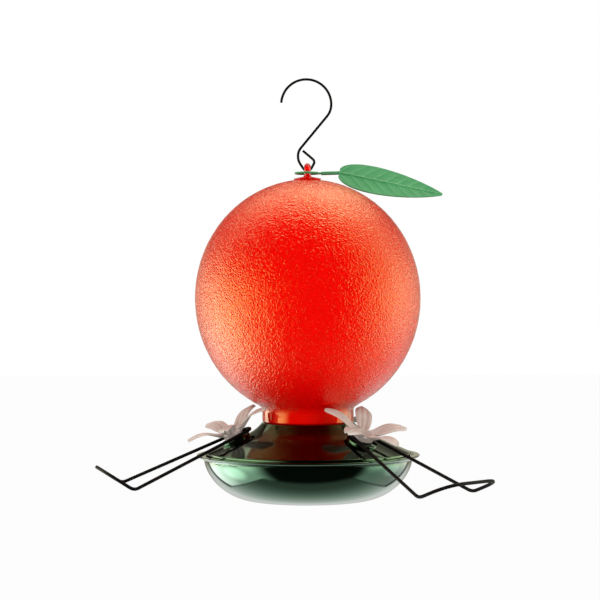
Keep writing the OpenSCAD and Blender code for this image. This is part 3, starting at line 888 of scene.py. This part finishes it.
# Tray
def bowl(r_top, r_foot, z_top, z_foot, steps=40):
    """A bowl's side from its top down to its foot."""
    return [(r_foot + (r_top - r_foot) * math.sqrt(max(0.0, 1 - t ** BOWL_POWER)),
             z_top + (z_foot - z_top) * t)
            for t in (math.sin(math.pi / 2 * k / steps) for k in range(steps + 1))]


hollow_r = FOOT_R - FOOT_RIM
hollow_z = FOOT_Z + FOOT_HOLLOW
foot_section = rounded([(hollow_r - 4, hollow_z), (hollow_r - FOOT_HOLLOW, hollow_z),
                        (hollow_r, FOOT_Z), (FOOT_R - 0.5, FOOT_Z)], FOOT_ROUND)
lip_section = rounded([
    (TRAY_R, BOWL_TOP_Z + 0.2), (LIP_R - 0.5, LIP_Z - 1.1), (LIP_R, LIP_Z - 0.5),
    (LIP_R - 0.3, LIP_Z), (LIP_IN_R, LIP_Z), (LIP_IN_R, COVER_FOOT_Z - GAP),
    (TRAY_IN_R, COVER_FOOT_Z - GAP), (TRAY_IN_R, SKIRT_END_Z + 0.8)], LIP_ROUND)
tray_section = ([(0, hollow_z)] + foot_section + bowl(TRAY_R, FOOT_R, BOWL_TOP_Z, FOOT_Z)[::-1]
                + lip_section + bowl(TRAY_IN_R, FOOT_R - 1, SKIRT_END_Z + 0.6, TRAY_FLOOR_Z)
                + [(0, TRAY_FLOOR_Z)])
add_piece("nectar_tray", revolve(tray_section), TRAY_GREEN, "tray", ("tray",))


# Bushes, flowers and perches
bush_section = rounded([
    (BUSH_BORE_R, 0), (BUSH_BORE_R, BUSH_FLANGE_T), (BUSH_FLANGE_R, BUSH_FLANGE_T),
    (BUSH_FLANGE_R, SNUG / 2), (BUSH_R - SNUG, SNUG / 2), (BUSH_R - SNUG, -BUSH_GRIP - SNUG),
    (BUSH_R + BUSH_BARB, -BUSH_GRIP - SNUG), (BUSH_R, -BUSH_GRIP - BUSH_END),
    (BUSH_BORE_R, -BUSH_GRIP - BUSH_END), (BUSH_BORE_R, -1)], BUSH_ROUND, 3)
calyx_top = PETAL_H + CALYX_H
calyx_section = rounded([
    (FEED_R, -TUBE_LEN + 1), (FEED_R, -TUBE_LEN), (TUBE_R, -TUBE_LEN), (TUBE_R, FLOWER_FOOT_H),
    (CALYX_R, FLOWER_FOOT_H), (CALYX_R, PETAL_H), (CALYX_R + 0.9, PETAL_H + 1.4),
    (CALYX_R - 0.4, calyx_top), (FEED_R + 2.6, calyx_top), (FEED_R + 1, PETAL_H + 0.4),
    (FEED_R, PETAL_H - 1.2), (FEED_R, 0)], CALYX_ROUND)


def petal_line(t):
    """The petal's middle line from the calyx out, as (reach, height)."""
    a, b, c, d = (np.array(p) for p in (
        (4.6, PETAL_H + 0.9), (11, PETAL_H + 1.4), (PETAL_REACH * 0.49, PETAL_RISE * 1.24),
        (PETAL_REACH, PETAL_RISE)))
    return a * (1 - t) ** 3 + b * 3 * t * (1 - t) ** 2 + c * 3 * t * t * (1 - t) + d * t ** 3


def petal_half(t):
    if t < PETAL_WIDEST:
        return PETAL_W / 2 * (0.5 + 0.5 * math.sin(math.pi / 2 * t / PETAL_WIDEST))
    tip = (t - PETAL_WIDEST) / (1 - PETAL_WIDEST)
    return PETAL_W / 2 * math.sqrt(max(0.0, 1 - 0.96 * tip ** 2))


def petal_grid(side, rows=40, cols=30):
    """One face of a petal: side is 1 for the upper and -1 for the lower."""
    grid = []
    for i in range(rows + 1):
        t = math.sin(math.pi / 2 * i / rows)
        middle = petal_line(t)
        ahead = unit(petal_line(min(1, t + 0.02)) - petal_line(max(0, t - 0.02)))
        row = []
        for j in range(cols + 1):
            v = 2 * j / cols - 1
            rib = RIB_H * (1 - 0.6 * t) * math.cos(2 * math.pi * v / RIB_SPACING) * (1 - v ** 6)
            cup = v * v * (PETAL_CUP * (1 - t) ** 2 - PETAL_TIP_FALL * t * t)
            edge = (1 - v ** 8) ** 0.5 * 0.75 + 0.25
            lift = rib + cup + side * PETAL_T * (1 - 0.5 * t) / 2 * edge
            reach, height = middle[0] - ahead[1] * lift, middle[1] + ahead[0] * lift
            row.append((reach, petal_half(t) * v, height))
        grid.append(row)
    return grid


def perch_path(bend, lean):
    """A hairpin round the flower's tube, two long sides, and an arch bent up at their ends."""
    bend = math.radians(bend)
    up_arch = np.array((math.cos(bend) * ARCH_LEN, lean, math.sin(bend) * ARCH_LEN))
    hairpin = [np.array((x - HAIRPIN_BACK, y, WIRE_H))
               for x, y in arc((0, 0), HAIRPIN_R, 90, 270, 32)]
    near_a, near_b = (np.array((PERCH_LEN, side * PERCH_W / 2, WIRE_H)) for side in (-1, 1))
    far_a, far_b = near_a + up_arch, near_b + up_arch
    return (hairpin + eased(hairpin[-1], near_a, far_a, PERCH_CORNER_R, 8)
            + eased(near_a, far_a, far_b, ARCH_CORNER_R, 16)
            + eased(far_a, far_b, near_b, ARCH_CORNER_R, 16)
            + eased(far_b, near_b, hairpin[0], PERCH_CORNER_R, 8))


petal_faces = petal_grid(1), petal_grid(-1)
for i, bend, lean in zip(PORTS, PERCH_BENDS, PERCH_LEANS):
    place = port_place(i)
    add_piece(f"soft_bush_{i}", revolve(bush_section, True, ROUND_PORT, place),
              BUSH, "base", (f"port_bush_{i}",))
    turns = [Matrix.Rotation(2 * math.pi * k / PETAL_COUNT, 4, "Z") for k in range(PETAL_COUNT)]
    petals = [sheet_solid(*petal_faces, place @ turn) for turn in turns]
    add_piece(f"blossom_{i}", joined(revolve(calyx_section, True, ROUND_PORT, place), *petals),
              PETAL, "base", (f"flower_{i}",))
    add_piece(f"wire_perch_{i}",
              sweep(perch_path(bend, lean), PERCH_WIRE_R, (0, 0, 1), closed=True, place=place),
              BLACK, f"perch_{i}", (f"perch_{i}",))


# Floor, light and camera
PIXEL = 0.6
PICTURE = 600
CAMERA_DISTANCE = 1832 * PIXEL
CAMERA_X = -4.64
CAMERA_Z = -131.6
CAMERA_ROLL = -0.15
SENSOR = 36.0
FLOOR_DROP = 420.0
FLOOR_REACH = 12000.0
# How much of the floor is plain white to the camera: the rest keeps the feeder's shadow
FLOOR_WHITE = 0.96
# Lamps in metres and watts: place, size and power. All aim at one point
LAMP_AIM = (0, 0, -0.15)
LAMPS = {
    "key": ((-1.1, -0.75, 0.5), (0.9, 0.9), 11),
    "fill": ((1.1, -0.75, 0.3), (0.9, 0.9), 9),
    "over": ((0, 0.2, 1.1), (1.0, 1.0), 6),
    "low": ((0, -0.95, -0.6), (0.9, 0.6), 5),
    "back": ((0, 1.2, 0.3), (1.0, 1.0), 7),
}
# Strengths of the studio that gloss sees, and what they lose upward, downward or backward
ROOM_LEVEL = 0.02
LEFT_LEVEL, LEFT_UP_LOSS, LEFT_DOWN_LOSS = 4.6, 4.2, 2.6
RIGHT_LEVEL, RIGHT_UP_LOSS, RIGHT_DOWN_LOSS = 3.6, 2.2, 2.7
PANEL_BACK_LOSS = 0.4
LEFT_LEAN = 2.2
ROOF_LEVEL, ROOF_BACK_LOSS, ROOF_TILT = 3.1, 2.98, 0.4
SWEEP_LEVEL, SWEEP_BACK_GAIN, SWEEP_END_LOSS = 0.26, 1.0, 0.6
SWEEP_SIDE, SWEEP_FRONT = 0.8, 0.42
RIM_LEVEL = 0.45
# Bright spots: direction, the closeness to it at which they start and are full, and strength
LEFT_SPOT = ((-0.858, 0.155, -0.48), (0.95, 0.998), 3.6)
RIGHT_SPOT = ((0.86, 0.368, -0.355), (0.965, 0.995), 0.8)
BACK_SPOT = ((-0.72, 0.53, -0.44), (0.93, 0.995), 1.8)
TOP_SPOT = ((0.188, 0.49, 0.851), (0.93, 0.998), 2.5)
WARM = (1, 0.95, 0.72, 1)
# The level that matt surfaces see, and what it gains downward
PLAIN_LEVEL, PLAIN_DOWN_GAIN = 0.45, 0.5


def floor_material():
    look = Look("floor")
    look.set(Base_Color=(0.9, 0.9, 0.9, 1), Roughness=0.9)
    rays = look.add("ShaderNodeLightPath").outputs
    camera_ray, transmission_ray, glossy_ray = (
        Value(look, rays[f"Is {kind} Ray"]) for kind in ("Camera", "Transmission", "Glossy"))
    glow = look.add("ShaderNodeEmission", Strength=1.0)
    shown = look.mixed(camera_ray.larger(transmission_ray) * FLOOR_WHITE, look.shader, glow)
    # Gloss looks through the floor to the studio
    clear = look.add("ShaderNodeBsdfTransparent")
    surface = look.mixed(glossy_ray, shown, clear)
    look.link(surface.outputs[0], look.tree.nodes["Material Output"].inputs["Surface"])
    return look.material


corners = [(-1, -1), (1, -1), (1, 1), (-1, 1)]
floor_mesh = new_mesh("floor", [(x * FLOOR_REACH, y * FLOOR_REACH, 0) for x, y in corners],
                      [(0, 1, 2, 3)])
floor_mesh.materials.append(floor_material())
floor = bpy.data.objects.new("floor", floor_mesh)
floor.location = (0, 0, (FOOT_Z - FLOOR_DROP) * MM)
bpy.context.scene.collection.objects.link(floor)

for name, (position, size, power) in LAMPS.items():
    data = bpy.data.lights.new(name, "AREA")
    data.shape = "RECTANGLE"
    data.size, data.size_y = size
    data.energy = power
    lamp = bpy.data.objects.new(name, data)
    lamp.location = Vector(position)
    lamp.rotation_euler = (Vector(LAMP_AIM) - Vector(position)).to_track_quat("-Z", "Y").to_euler()
    lamp.visible_glossy = False
    bpy.context.scene.collection.objects.link(lamp)


def studio_world():
    """White for the camera and through glass. For gloss, a dark room in front with panels at the
    sides, a roof, and a sweep below and behind. A plain level for the rest."""
    world = bpy.data.worlds.new("studio")
    bpy.context.scene.world = world
    world.use_nodes = True
    nodes = Nodes(world.node_tree)
    nodes.tree.nodes.clear()
    coords = nodes.add("ShaderNodeTexCoord").outputs["Generated"]
    rays = nodes.add("ShaderNodeLightPath").outputs
    camera_ray, transmission_ray, glossy_ray = (
        Value(nodes, rays[f"Is {kind} Ray"]) for kind in ("Camera", "Transmission", "Glossy"))

    def spot(direction, ends, strength):
        node = nodes.add("ShaderNodeVectorMath", operation="DOT_PRODUCT")
        nodes.link(coords, node.inputs[0])
        node.inputs[1].default_value = Vector(direction).normalized()
        return Value(nodes, node.outputs["Value"]).smooth(*ends) * strength

    # The ray's direction, as shares and as angles round from the front
    split = nodes.add("ShaderNodeSeparateXYZ")
    nodes.link(coords, split.inputs[0])
    x, y, z = (Value(nodes, socket) for socket in split.outputs)
    front, depth = y * -1.0, z * -1.0
    azimuth, over = x.angle(front), z.angle(front)
    leftward, turn = azimuth * -1.0, abs(azimuth)

    # Panels at the left and right. The left one leans back upward, and starts straight below
    upward = z.smooth(0.02, 0.45)
    below_level = depth.smooth(0.0, 0.12)
    leaning_edge = (leftward - z.larger(0.0) * LEFT_LEAN).smooth(0.3, 1.15)
    left_edge = leaning_edge * (1.0 - below_level) + leftward.smooth(0.8, 1.3) * below_level
    left = left_edge * (LEFT_LEVEL - upward * LEFT_UP_LOSS
                        - depth.smooth(0.15, 0.7) * LEFT_DOWN_LOSS)
    right = azimuth.smooth(1.05, 1.4) * (RIGHT_LEVEL - upward * RIGHT_UP_LOSS
                                         - depth.smooth(0.0, 0.6) * RIGHT_DOWN_LOSS)
    back_fade = 1.0 - y.smooth(0.25, 0.85) * PANEL_BACK_LOSS

    # The panels stand on the sweep and end behind in a thin dark frame
    side_line = depth * SWEEP_SIDE - abs(x)
    front_line = (depth * SWEEP_FRONT - front).smooth(-0.08, 0.16)
    on_sweep = side_line.smooth(-0.03, 0.02) * front_line
    near_sweep = side_line.smooth(-0.05, -0.01) * front_line
    framed = 1.0 - turn.smooth(2.43, 2.51).larger(near_sweep)
    sides = left.larger(right) * (back_fade * framed)

    # The roof is narrow, tilted to one side and darker toward the back
    narrow = 1.0 - abs(x).smooth(0.4, 0.85)
    roof_edge = (over + x * ROOF_TILT).smooth(1.45, 1.95)
    roof = roof_edge * (ROOF_LEVEL - over.smooth(2.1, 2.7) * ROOF_BACK_LOSS) * narrow

    # The sweep grows bright toward the back, and less so straight behind
    sweep_level = (y.smooth(-0.15, 0.7) * SWEEP_BACK_GAIN + SWEEP_LEVEL
                   - y.smooth(0.8, 0.98) * SWEEP_END_LOSS)
    behind = turn.smooth(2.53, 2.62) * depth.smooth(-0.05, 0.35)
    sweep_light = on_sweep.larger(behind) * sweep_level

    # A faint level straight behind keeps the rims of the glass from going dark
    rims = (turn.smooth(2.35, 2.6) * (1.0 - z.smooth(0.1, 0.25))
            * (z.smooth(-0.25, -0.05) * RIM_LEVEL))

    lit = sides.larger(rims).larger(roof.larger(sweep_light))
    spots = spot(*LEFT_SPOT) + spot(*RIGHT_SPOT) + spot(*TOP_SPOT) + spot(*BACK_SPOT) * framed
    gloss_level = lit + ROOM_LEVEL + spots
    plain_level = depth.smooth(0.0, 1.0) * PLAIN_DOWN_GAIN + PLAIN_LEVEL
    level = glossy_ray * gloss_level + (1.0 - glossy_ray) * plain_level
    seen = camera_ray.larger(transmission_ray)
    strength = level * (1.0 - seen) + seen

    # What gloss sees from about level up is a little warm
    tint = nodes.add("ShaderNodeMix", data_type="RGBA")
    nodes.link((glossy_ray * z.smooth(-0.35, 0.0)).socket, tint.inputs[0])
    tint.inputs[6].default_value = (1, 1, 1, 1)
    tint.inputs[7].default_value = WARM
    shade = nodes.add("ShaderNodeBackground")
    nodes.link(tint.outputs[2], shade.inputs["Color"])
    nodes.link(strength.socket, shade.inputs["Strength"])
    nodes.link(shade.outputs[0], nodes.add("ShaderNodeOutputWorld").inputs["Surface"])


studio_world()

camera_data = bpy.data.cameras.new("camera")
camera_data.sensor_width = SENSOR
camera_data.lens = SENSOR * CAMERA_DISTANCE / PIXEL / PICTURE
camera_data.clip_end = 50
camera = bpy.data.objects.new("camera", camera_data)
camera.matrix_world = (Matrix.Translation(Vector((CAMERA_X, -CAMERA_DISTANCE, CAMERA_Z)) * MM)
                       @ Matrix.Rotation(math.radians(90), 4, "X")
                       @ Matrix.Rotation(math.radians(CAMERA_ROLL), 4, "Z"))
bpy.context.scene.collection.objects.link(camera)
bpy.context.scene.camera = camera
bpy.context.scene.view_settings.view_transform = "Standard"
